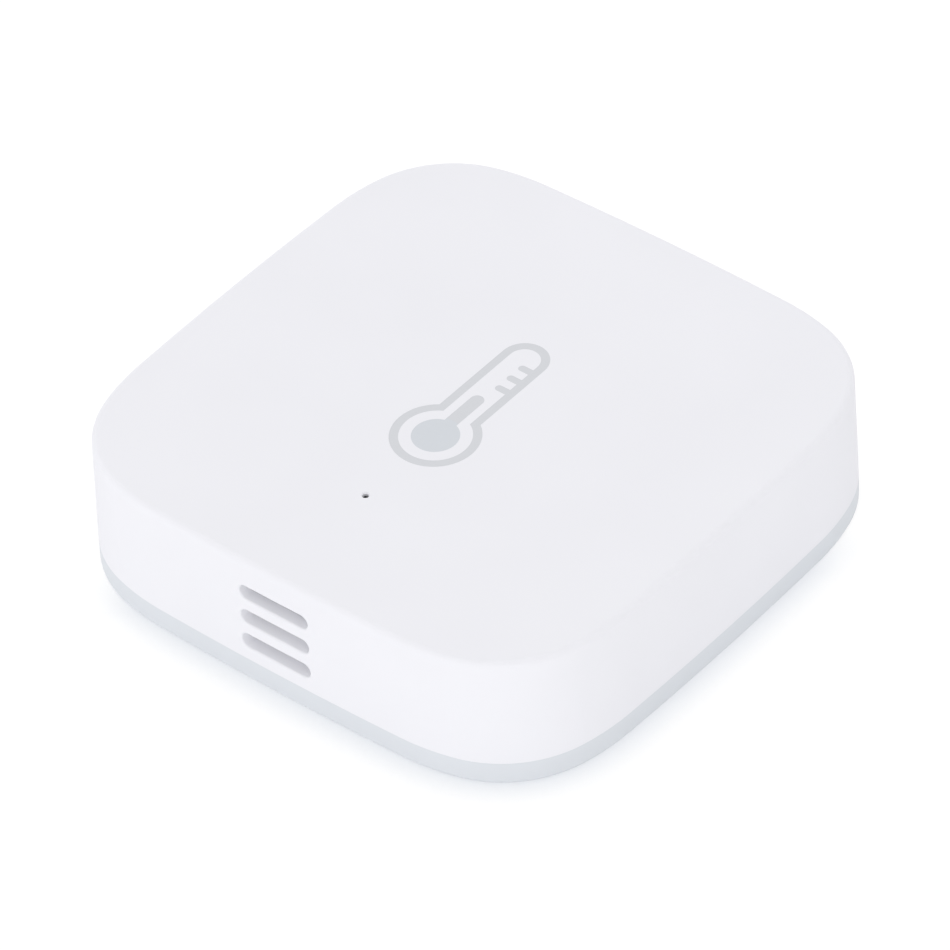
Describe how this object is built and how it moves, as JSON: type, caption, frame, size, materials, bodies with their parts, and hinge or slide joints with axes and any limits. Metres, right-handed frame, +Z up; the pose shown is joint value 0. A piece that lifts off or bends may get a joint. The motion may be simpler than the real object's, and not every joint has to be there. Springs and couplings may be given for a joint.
{
  "type": "temperature humidity sensor",
  "caption": "Small square wireless temperature and humidity sensor with rounded corners, side vents, a thermometer figure, a reset key and a twist-off battery cover.",
  "frame": {"origin": "middle of the underside, on the plane the sensor lies on", "axes": "+Z up through the roof, -Y towards the vents, +Y towards the reset key"},
  "size_m": [0.036, 0.036, 0.009],
  "materials": {
    "shell_white": "fine satin moulding",
    "figure_ink": "matt printed ink",
    "base_grey": "satin, slightly translucent grey",
    "cover_grey": "satin",
    "frame_plastic": "natural moulding",
    "board_laminate": "solder mask",
    "chip_black": "moulded epoxy",
    "led_resin": "clear resin on white",
    "smoked_acrylic": "smoked acrylic",
    "spring_steel": "stamped",
    "key_plastic": "grey moulding",
    "contact_nickel": "nickel on bronze",
    "crystal_can": "satin can",
    "tantalum": "ochre epoxy",
    "chip_ceramic": "fired",
    "copper": "etched copper",
    "cell_steel": "drawn stainless",
    "cathode_mass": "pressed powder",
    "separator_paper": "felted",
    "lithium": "soft metal"
  },
  "bodies": {
    "housing": {"top_shell": "shell_white", "thermometer_print": "figure_ink", "base": "base_grey", "inner_frame": "frame_plastic", "circuit_board": "board_laminate", "humidity_sensor": "chip_black", "indicator_led": "led_resin", "light_guide": "smoked_acrylic", "switch_body": "chip_black", "switch_dome": "spring_steel", "switch_frame": "spring_steel", "negative_contact": "contact_nickel", "positive_contact": "contact_nickel", "radio_controller": "chip_black", "memory_chip": "chip_black", "crystal": "crystal_can", "storage_capacitor": "tantalum", "capacitors": "chip_ceramic", "resistors": "chip_black", "antenna": "copper", "cell_can": "cell_steel", "cell_cap": "cell_steel", "cell_gasket": "key_plastic", "cell_cathode": "cathode_mass", "cell_separator": "separator_paper", "cell_anode": "lithium"},
    "battery_cover": {"battery_cover": "cover_grey"},
    "reset_button": {"reset_button": "shell_white"},
    "switch_plunger": {"switch_plunger": "key_plastic"}
  },
  "joints": [
    {"name": "battery_cover_twist", "type": "hinge", "parent": "housing", "child": "battery_cover", "pos_m": [0, 0, 0.0006], "axis": [0, 0, -1], "range_deg": [0, 35]},
    {"name": "reset_button_press", "type": "slide", "parent": "housing", "child": "reset_button", "axis": [0, -1, 0], "range_m": [0, 0.00025], "stiffness_N_per_m": 800},
    {"name": "switch_plunger_press", "type": "slide", "parent": "housing", "child": "switch_plunger", "axis": [0, -1, 0], "range_m": [0, 0.00025], "deforming": ["switch_dome"]}
  ],
  "couplings": [
    {"joint": "switch_plunger_press", "follows": "reset_button_press", "ratio": 1}
  ]
}
